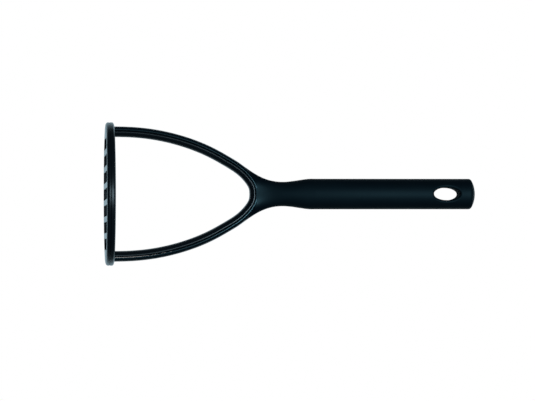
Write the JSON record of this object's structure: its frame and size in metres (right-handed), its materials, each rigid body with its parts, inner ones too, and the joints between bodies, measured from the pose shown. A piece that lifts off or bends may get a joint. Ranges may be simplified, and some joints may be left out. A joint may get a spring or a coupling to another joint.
{
  "type": "potato masher",
  "caption": "One-handed kitchen masher: round slotted mashing plate under a two-armed bow, waisted neck, straight round handle with an oval hanging hole",
  "frame": {"origin": "centre of the mashing face, on the plane that the masher stands on", "axes": "+Z runs along the handle, away from the mashing face; the two arms of the bow spread along X; the hanging hole runs through along Y"},
  "size_m": [0.1, 0.1, 0.26],
  "materials": {
    "moulded_nylon": "semi-gloss moulded nylon, blue-black",
    "handle_plastic": "fine matt texture, blue-black"
  },
  "bodies": {
    "root": {"mashing_plate": "moulded_nylon", "head_ring": "moulded_nylon", "bow": "moulded_nylon", "handle_shell": "handle_plastic", "end_plug": "handle_plastic"}
  },
  "joints": []
}
